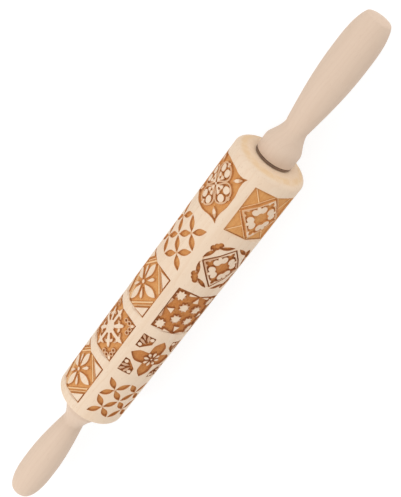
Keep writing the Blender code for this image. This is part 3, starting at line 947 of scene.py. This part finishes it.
@dataclass
class RunningGear:
    """What the roller turns on: the axle, a flanged bush in each end, and a washer at each handle."""

    axle_radius: float = 4.0 * MM
    axle_half_length: float = 171.2 * MM
    axle_chamfer: float = 0.8 * MM
    bore: float = AXLE_BORE
    bush_face: float = 110.4 * MM
    bush_shift: float = ROLLER_SHIFT
    bush_radius: float = 6.8 * MM
    bush_length: float = 16.0 * MM
    flange_radius: float = 9.5 * MM
    flange_thickness: float = 2.0 * MM
    washer_seat: float = 112.9 * MM
    # Each washer's radius and thickness
    near_washer: tuple[float, float] = (12.2 * MM, 1.5 * MM)
    far_washer: tuple[float, float] = (8.5 * MM, 1.0 * MM)
    ease: float = 0.25 * MM
    sides: int = 72
    smooth_angle: float = math.radians(30)

    def build_axle(self) -> bpy.types.Object:
        """Turn the axle, with chamfered ends."""
        half, shoulder = self.axle_half_length, self.axle_half_length - self.axle_chamfer
        end = self.axle_radius - self.axle_chamfer
        outline = [(half, 0.0), (half, end), (shoulder, self.axle_radius), (0.0, self.axle_radius)]
        return tidied(turned("steel_axle", both_ends(outline), self.sides), self.smooth_angle)

    def ring(self, name: str, corners: Sequence[Station]) -> bpy.types.Object:
        """Turn a closed ring with eased edges.

        Args:
            name: The piece's name.
            corners: Its section's corners, as places on the axis with their radii.

        Returns:
            The finished piece.
        """
        wrapped = eased([corners[-1], *corners, corners[0]], self.ease)[1:-1]
        return tidied(turned(name, wrapped, self.sides, closed=True), self.smooth_angle)

    def build_bush(self, side: Side) -> bpy.types.Object:
        """Turn the flanged bush of one end."""
        face = side.value * self.bush_face
        corners = [(0.0, self.flange_radius), (self.flange_thickness, self.flange_radius),
                   (self.flange_thickness, self.bush_radius), (self.bush_length, self.bush_radius),
                   (self.bush_length, self.bore), (0.0, self.bore)]
        return self.ring(f"{side.word}_flanged_bush", [
            (face + self.bush_shift - side.value * depth, radius) for depth, radius in corners])

    def build_washer(self, side: Side) -> bpy.types.Object:
        """Turn the washer of one end; the near one is the dark ring at the collar."""
        radius, thickness = self.near_washer if side is Side.NEAR else self.far_washer
        inner, outer = self.washer_seat - thickness, self.washer_seat
        return self.ring(f"{side.word}_thrust_washer", [
            (side.value * place, reach) for place, reach in
            ((inner, radius), (outer, radius), (outer, self.bore), (inner, self.bore))])


def srgb(*screen: int) -> tuple[float, ...]:
    """A colour from its three 0 to 255 screen values, as the linear values that a shader takes."""
    shares = (value / 255 for value in screen)
    linear = (share / 12.92 if share <= 0.04045 else ((share + 0.055) / 1.055) ** 2.4 for share in shares)
    return (*linear, 1.0)


class Graph:
    """Adds shader nodes to a tree and wires them."""

    def __init__(self, tree: bpy.types.NodeTree) -> None:
        """Work on a tree."""
        self.tree = tree

    def feed(self, node: bpy.types.Node, inputs: dict) -> None:
        """Fill a node's inputs.

        Args:
            node: The node.
            inputs: Values or output sockets, by the input's name or number.
        """
        for name, value in inputs.items():
            if isinstance(value, Socket):
                self.tree.links.new(value, node.inputs[name])
            else:
                node.inputs[name].default_value = value

    def add(self, kind: str, inputs: dict | None = None, **settings: object) -> bpy.types.Node:
        """Add a node.

        Args:
            kind: The node's type, without the ShaderNode before it.
            inputs: What its inputs are fed with.
            settings: The node's own properties.

        Returns:
            The node.
        """
        node = self.tree.nodes.new(kind if kind.startswith("NodeGroup") else f"ShaderNode{kind}")
        for name, value in settings.items():
            setattr(node, name, value)
        self.feed(node, inputs or {})
        return node

    def math(self, operation: str, *values: object) -> Socket:
        """The result of a calculation on numbers or sockets."""
        return self.add("Math", dict(enumerate(values)), operation=operation).outputs[0]

    def plus(self, *values: object) -> Socket:
        """The sum of numbers and sockets."""
        return reduce(partial(self.math, "ADD"), values)

    def times(self, *values: object) -> Socket:
        """The product of numbers and sockets."""
        return reduce(partial(self.math, "MULTIPLY"), values)

    def mix(self, share: object, first: object, second: object) -> Socket:
        """A mix of two colours, by the second one's share."""
        return self.add("Mix", {0: share, 6: first, 7: second}, data_type="RGBA").outputs[2]

    def ramp(self, value: Socket, start: float, end: float, low: float = 0.0, high: float = 1.0,
             smooth: bool = True) -> Socket:
        """A value carried from one range to another and held at its ends.

        Args:
            value: The value.
            start: Where the first range starts.
            end: Where it ends.
            low: What its start becomes.
            high: What its end becomes.
            smooth: Whether it starts and ends gently.

        Returns:
            The carried value.
        """
        ends = {"From Min": start, "From Max": end, "To Min": low, "To Max": high}
        kind = "SMOOTHSTEP" if smooth else "LINEAR"
        return self.add("MapRange", {"Value": value, **ends}, interpolation_type=kind).outputs["Result"]

    def noise(self, place: Socket, scale: float | Place, detail: float = 2.0,
              roughness: float = 0.5) -> Socket:
        """Soft noise between 0 and 1.

        Args:
            place: Where it is read.
            scale: How fine it is, as one number or one for each direction.
            detail: Finer layers in it.
            roughness: How strong those are.

        Returns:
            The noise.
        """
        if isinstance(scale, tuple):
            place, scale = self.add("Mapping", {"Vector": place, "Scale": scale}).outputs["Vector"], 1.0
        return self.add("TexNoise", {"Vector": place, "Scale": scale, "Detail": detail,
                                     "Roughness": roughness}).outputs["Fac"]

    def object_place(self) -> Socket:
        """Where a point lies in the piece's own space."""
        return self.add("TexCoord").outputs["Object"]

    def parts(self, place: Socket) -> bpy.types.NodeOutputs:
        """The X, Y and Z of a place."""
        return self.add("SeparateXYZ", {0: place}).outputs

    def off_axis(self, place: Socket) -> Socket:
        """A place's distance from the X axis."""
        parts = self.parts(place)
        return self.math("SQRT", self.plus(*(self.times(parts[axis], parts[axis]) for axis in "YZ")))

    def attribute(self, name: str) -> Socket:
        """A value that the mesh carries at its points."""
        return self.add("Attribute", attribute_name=name).outputs["Fac"]

    def bump(self, height: Socket, strength: float, distance: float) -> Socket:
        """The surface's direction, tilted by a height."""
        node = self.add("Bump", {"Height": height, "Strength": strength, "Distance": distance})
        return node.outputs["Normal"]

    def seen(self) -> Socket:
        """1 for what the camera sees, also mirrored or through glass, and 0 for light on the pin."""
        path = self.add("LightPath").outputs
        return self.math("MAXIMUM", path["Is Camera Ray"],
                         self.math("MAXIMUM", path["Is Glossy Ray"], path["Is Transmission Ray"]))


class EffectGroup:
    """A shader node group with named inputs and outputs."""

    def __init__(self, name: str, inputs: Sequence[str], outputs: Sequence[str],
                 colours: Sequence[str] = ()) -> None:
        """Start a group.

        Args:
            name: The group's name.
            inputs: Its inputs.
            outputs: Its outputs.
            colours: Which of both are colours; the others are numbers.
        """
        self.tree = bpy.data.node_groups.new(name, "ShaderNodeTree")
        for way, titles in (("INPUT", inputs), ("OUTPUT", outputs)):
            for title in titles:
                kind = "NodeSocketColor" if title in colours else "NodeSocketFloat"
                self.tree.interface.new_socket(title, in_out=way, socket_type=kind)
        self.graph = Graph(self.tree)
        self.source = self.graph.add("NodeGroupInput").outputs
        self.sink = self.graph.add("NodeGroupOutput")

    def give(self, **values: Socket) -> bpy.types.NodeTree:
        """Wire values to the group's outputs, and hand over its tree."""
        self.graph.feed(self.sink, values)
        return self.tree


def beech_grain_group() -> bpy.types.NodeTree:
    """Beech: soft growth rings round a line along X, short dark rays, and fine pores.

    Returns:
        The group's tree.
    """
    colours = ("Pale", "Warm", "Ray", "Color")
    group = EffectGroup("beech_grain", (*colours[:3], "Ring Strength", "Ray Strength", "Pith Y", "Pith Z"),
                        ("Color", "Roughness", "Height"), colours)
    g, source = group.graph, group.source
    place = g.object_place()
    pith = g.add("CombineXYZ", {"Y": source["Pith Y"], "Z": source["Pith Z"]}).outputs[0]
    from_pith = g.off_axis(g.add("VectorMath", {0: place, 1: pith}, operation="SUBTRACT").outputs[0])
    waves = g.noise(place, (9, 60, 60), 3.0)
    ring = g.math("FRACT", g.plus(g.times(from_pith, 1 / GROWTH_RING), g.times(waves, 5.0)))
    bands = g.math("MAXIMUM", g.ramp(ring, 0.55, 0.98), g.ramp(ring, 0.0, 0.12, 1.0, 0.0))
    cloud = g.noise(place, (14, 38, 38))
    streak = g.noise(place, (45, 900, 900), roughness=0.6)
    tone = g.plus(g.times(bands, 0.45), g.times(cloud, 0.75), g.times(g.math("SUBTRACT", streak, 0.5), 0.9))
    share = g.times(g.ramp(tone, 0.15, 1.15, smooth=False), source["Ring Strength"])
    rays = g.times(g.ramp(g.noise(place, (330, 1500, 1500), 1.0), 0.64, 0.74), source["Ray Strength"])
    pore = g.noise(place, (500, 5200, 5200), 1.0)
    return group.give(
        Color=g.mix(rays, g.mix(share, source["Pale"], source["Warm"]), source["Ray"]),
        Roughness=g.ramp(g.plus(g.times(streak, 0.6), g.times(pore, 0.4)), 0.3, 0.7, 0.5, 0.68),
        Height=g.plus(g.times(pore, 0.5), g.times(rays, -0.6), g.times(streak, 0.3)))


def burnt_engraving_group() -> bpy.types.NodeTree:
    """Laser burning by distance from a cut's edge: dark walls, tan floors with fine lines, a faint halo.
    It also paints light: a painted highlight on ridge tops, painted shade at their feet, and a painted
    shade band round the end rims.

    Returns:
        The group's tree.
    """
    colours = ("Wood", "Light Burn", "Deep Burn", "Char", "Crest", "End Tint", "Color")
    group = EffectGroup("burnt_engraving", (*colours[:6], "Halo Strength", "Edge Strength"),
                        ("Color", "Burnt", "Height"), colours)
    g, source = group.graph, group.source
    edge, burn, crest = map(g.attribute, ("cut_edge", "burn", "crest"))
    place = g.object_place()
    parts = g.parts(place)
    around = g.times(g.math("ARCTAN2", parts["Y"], parts["Z"]), ROLLER_RADIUS)
    lines = g.math("SINE", g.times(around, 2 * math.pi / SCAN_LINE))
    lines_across = g.math("SINE", g.times(parts["X"], 2 * math.pi / CROSS_LINE))
    patch = g.noise(place, 260.0, 3.0, 0.6)
    fine = g.noise(place, 1100.0, 2.0, 0.6)
    streak = g.noise(place, (70, 900, 900), 2.0, 0.6)
    tone = g.plus(g.times(patch, 0.85), g.times(streak, 0.55), g.times(lines, 0.05),
                  g.times(g.math("SUBTRACT", fine, 0.5), 0.7), g.math("SUBTRACT", burn, 0.5))
    floor = g.mix(g.ramp(tone, 0.2, 1.2, smooth=False), source["Light Burn"], source["Deep Burn"])
    strength = g.times(g.ramp(burn, 0.3, 0.85, 0.3, 1.35, smooth=False), source["Edge Strength"])
    wall = g.times(g.ramp(edge, -0.55, -0.28), strength)
    blots = g.times(g.ramp(g.noise(place, 420.0, 3.0, 0.65), 0.5, 0.72), g.ramp(burn, 0.45, 1.0, 0.0, 0.6))
    floor = g.mix(blots, floor, source["Char"])
    # Painted light on the low ridges of the cut floors: painted shade in the char colour along each ridge's
    # foot, and a painted highlight in the crest colour on its top
    foot = g.times(g.ramp(crest, 0.02, 0.15), g.ramp(crest, 0.2, 0.5, 0.55, 0.0))
    lined = g.mix(foot, g.mix(g.ramp(crest, 0.3, 0.75), floor, source["Crest"]), source["Char"])
    inside = g.mix(wall, lined, source["Char"])
    halo = g.times(g.ramp(edge, 0.5, 0.0), source["Halo Strength"])
    # A painted shade band, darker and warmer, round each end face on the rim's rounding, where it turns
    # from the side to the face
    reach = g.off_axis(place)
    tint = g.times(g.ramp(reach, 16.5 * MM, 19.2 * MM, 0.2, 1.0),
                   g.ramp(reach, 20.4 * MM, 22.6 * MM, 1.0, 0.0), g.ramp(patch, 0.3, 0.6, 0.35, 1.0))
    outside = g.mix(halo, g.mix(tint, source["Wood"], source["End Tint"]), source["Light Burn"])
    burnt = g.ramp(edge, 0.06, -0.06)
    rough = g.plus(g.times(lines, 0.3), g.times(lines_across, 0.12), g.times(fine, 0.8))
    return group.give(Color=g.mix(burnt, outside, inside), Burnt=burnt, Height=g.times(rough, burnt))


def drawn_lines_group() -> bpy.types.NodeTree:
    """Fine lines along or round a drawn or turned surface.

    Returns:
        The group's tree.
    """
    group = EffectGroup("drawn_lines", ["Round"], ["Lines"])
    g = group.graph
    place = g.object_place()
    along, around = g.noise(place, (20, 3000, 3000)), g.noise(place, (4000, 40, 40))
    return group.give(Lines=g.add("Mix", {0: group.source["Round"], 2: along, 3: around}).outputs[0])


def new_material(name: str) -> tuple[bpy.types.Material, Graph, bpy.types.Node]:
    """Start a material.

    Args:
        name: Its name.

    Returns:
        The material, a graph on its tree, and its Principled BSDF.
    """
    material = bpy.data.materials.new(name)
    material.use_nodes = True
    tree = material.node_tree
    return material, Graph(tree), tree.nodes["Principled BSDF"]


@dataclass(frozen=True)
class WoodFinish:
    """Beech, sanded and left bare, with or without laser burning."""

    slot: Slot
    pale: Colour
    warm: Colour
    ray: Colour
    ring_strength: float
    ray_strength: float
    pith: tuple[float, float]

    def material(self, grain: bpy.types.NodeTree, burning: bpy.types.NodeTree | None) -> bpy.types.Material:
        """Make the material.

        Args:
            grain: The beech group.
            burning: The engraving group, which burns the cuts and paints light on the ridges and rims, for
                the roller.

        Returns:
            The material.
        """
        material, g, shader = new_material(self.slot.value)
        wood = g.add("Group", node_tree=grain)
        g.feed(wood, {"Pale": srgb(*self.pale), "Warm": srgb(*self.warm), "Ray": srgb(*self.ray),
                      "Ring Strength": self.ring_strength, "Ray Strength": self.ray_strength,
                      "Pith Y": self.pith[0], "Pith Z": self.pith[1]})
        colour, height, roughness = (wood.outputs[title] for title in ("Color", "Height", "Roughness"))
        if burning is not None:
            # Two of these colours are painted light: the pale gold one is a painted highlight on ridge
            # tops, and the darker warm one for the end faces is a painted shade band round the rims
            burn = g.add("Group", {
                "Wood": colour, "Light Burn": srgb(229, 169, 103), "Deep Burn": srgb(198, 124, 62),
                "Char": srgb(160, 97, 52), "Crest": srgb(245, 207, 158), "Halo Strength": 0.2,
                "Edge Strength": 0.6, "End Tint": srgb(235, 202, 161)}, node_tree=burning).outputs
            colour = burn["Color"]
            height = g.plus(g.times(height, 0.5), burn["Height"])
            roughness = g.plus(roughness, g.times(burn["Burnt"], 0.2))
        g.feed(shader, {"Base Color": colour, "Roughness": roughness, "Specular IOR Level": 0.3,
                        "Normal": g.bump(height, 0.35, 0.05 * MM)})
        return material


@dataclass(frozen=True)
class PlainFinish:
    """Steel or nylon with fine lines in it."""

    slot: Slot
    dark: Colour
    light: Colour
    metallic: float
    roughness: tuple[float, float]
    lines_round: float

    def material(self, lines: bpy.types.NodeTree) -> bpy.types.Material:
        """Make the material.

        Args:
            lines: The group of fine lines.

        Returns:
            The material.
        """
        material, g, shader = new_material(self.slot.value)
        drawn = g.add("Group", {"Round": self.lines_round}, node_tree=lines).outputs["Lines"]
        tone = g.plus(g.times(drawn, 0.5), g.times(g.noise(g.object_place(), 180.0, 3.0), 0.5))
        g.feed(shader, {"Base Color": g.mix(g.ramp(tone, 0.3, 0.7), srgb(*self.dark), srgb(*self.light)),
                        "Roughness": g.ramp(drawn, 0.3, 0.7, *self.roughness), "Metallic": self.metallic,
                        "Normal": g.bump(drawn, 0.2, 0.02 * MM)})
        return material


@dataclass(frozen=True)
class SoftLight:
    """A soft square light aimed at the pin, its size in metres and its power in watts."""

    name: str
    place: Place
    size: float
    power: float

    def build(self) -> None:
        """Set it up."""
        data = bpy.data.lights.new(self.name, "AREA")
        data.size = self.size
        data.energy = self.power
        light = bpy.data.objects.new(self.name, data)
        light.location = self.place
        light.rotation_euler = (-Vector(self.place)).to_track_quat("-Z", "Y").to_euler()
        bpy.context.scene.collection.objects.link(light)


@dataclass
class Studio:
    """Camera, soft lights, pale floor and world."""

    focal_length: float = 85.1107
    sensor: float = 36.0
    clip: tuple[float, float] = (0.01, 50.0)
    axle_turn: float = math.radians(2.8506)
    place_mm: Place = (394.497, 1.859, 628.910)
    floor_height: float = -24.05 * MM
    floor_size: float = 30.0
    floor_greys: tuple[float, float] = (0.8, 0.3)
    floor_glow: float = 0.8
    world_light: float = 0.62
    view_rows: tuple[Place, ...] = (
        (0.52509804, -0.79608185, -0.30087497),
        (0.69072808, 0.60518897, -0.39577902),
        (0.49715870, 0.0, 0.86765962),
    )
    # From the upper left, on the near ends' faces, and a little on the far handle
    lights: tuple[SoftLight, ...] = (
        SoftLight("key", (-1.25, 1.25, 1.65), 1.6, 20.0),
        SoftLight("fill", (2.1, -0.1, 0.6), 1.6, 16.0),
        SoftLight("far", (-1.1, -0.6, 0.8), 0.9, 2.8),
    )

    def build_camera(self) -> None:
        """Place the camera at the photograph's view point."""
        turn = Matrix.Rotation(self.axle_turn, 4, "X")
        place = turn @ (Vector(self.place_mm) * MM) + Vector((ROLLER_SHIFT, 0, 0))
        data = bpy.data.cameras.new("camera")
        data.sensor_fit = "VERTICAL"
        data.sensor_height = self.sensor
        data.lens = self.focal_length
        data.clip_start, data.clip_end = self.clip
        camera = bpy.data.objects.new("camera", data)
        aim = Matrix(self.view_rows).transposed().to_4x4()
        camera.matrix_world = Matrix.Translation(place) @ turn @ aim
        bpy.context.scene.collection.objects.link(camera)
        bpy.context.scene.camera = camera

    def build_floor(self) -> None:
        """Lay the pale floor, which the camera sees as white with a soft shadow."""
        deselect_all()
        bpy.ops.mesh.primitive_plane_add(size=self.floor_size, location=(0, 0, self.floor_height))
        floor = bpy.context.object
        floor.name = "floor"
        material = bpy.data.materials.new("floor")
        material.use_nodes = True
        material.node_tree.nodes.clear()
        g = Graph(material.node_tree)
        plain, shade = (g.add("BsdfDiffuse", {"Color": (grey, grey, grey, 1.0)}).outputs[0]
                        for grey in self.floor_greys)
        glow = g.add("Emission", {"Color": WHITE, "Strength": self.floor_glow}).outputs[0]
        bright = g.add("AddShader", {0: shade, 1: glow}).outputs[0]
        mixed = g.add("MixShader", {0: g.seen(), 1: plain, 2: bright}).outputs[0]
        g.add("OutputMaterial", {"Surface": mixed})
        floor.data.materials.append(material)

    def build_world(self) -> None:
        """White to the camera, and an even soft light on the pin."""
        world = bpy.data.worlds.new("studio")
        bpy.context.scene.world = world
        world.use_nodes = True
        world.node_tree.nodes.clear()
        g = Graph(world.node_tree)
        light, white = (g.add("Background", {"Color": WHITE, "Strength": strength}).outputs[0]
                        for strength in (self.world_light, 1.0))
        g.add("OutputWorld", {"Surface": g.add("MixShader", {0: g.seen(), 1: light, 2: white}).outputs[0]})

    def build(self) -> None:
        """Set up everything round the pin."""
        self.build_camera()
        for light in self.lights:
            light.build()
        self.build_floor()
        self.build_world()
        bpy.context.scene.view_settings.view_transform = "Standard"


def fit(obj: bpy.types.Object, body: str, node: str, slot: Slot, material: bpy.types.Material) -> None:
    """Dress a piece, let it ride on a body and stand for a CAD node.

    Args:
        obj: The piece.
        body: The body that it rides on.
        node: The CAD node that it replaces.
        slot: The record's material slot; not used.
        material: Its material.
    """
    obj.data.materials.clear()
    obj.data.materials.append(material)
    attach(obj, body)
    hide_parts(node)
    LOG.info("%s: %d triangles", obj.name, sum(len(face.vertices) - 2 for face in obj.data.polygons))


def main() -> None:
    """Build the rolling pin around the frame."""
    logging.basicConfig(level=logging.INFO, format="%(message)s")
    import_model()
    Studio().build()
    grain = beech_grain_group()
    lines = drawn_lines_group()
    roller_wood = WoodFinish(Slot.ROLLER, (242, 218, 192), (231, 197, 164), (200, 160, 128), 0.5, 0.25,
                             (0.031, -0.044)).material(grain, burnt_engraving_group())
    handle_wood = WoodFinish(Slot.HANDLE, (228, 203, 181), (216, 187, 163), (190, 156, 132), 0.3, 0.1,
                             (-0.021, 0.017)).material(grain, None)
    steel, nylon, dark_nylon = (finish.material(lines) for finish in (
        PlainFinish(Slot.AXLE, (150, 152, 156), (196, 198, 202), 1.0, (0.22, 0.42), 0.0),
        PlainFinish(Slot.BUSH, (214, 210, 200), (232, 229, 221), 0.0, (0.4, 0.55), 1.0),
        PlainFinish(Slot.WASHER, (118, 92, 73), (140, 112, 90), 0.0, (0.45, 0.6), 1.0)))
    fit(CarvedRoller().build(), "roller", "roller", Slot.ROLLER, roller_wood)
    gear = RunningGear()
    fit(gear.build_axle(), "grips", "axle", Slot.AXLE, steel)
    for side in Side:
        fit(Handle(side).build(), "grips", f"{side.word}_handle", Slot.HANDLE, handle_wood)
        fit(gear.build_bush(side), "roller", f"{side.word}_bush", Slot.BUSH, nylon)
        fit(gear.build_washer(side), "grips", f"{side.word}_washer", Slot.WASHER, dark_nylon)


if __name__ == "__main__":
    main()
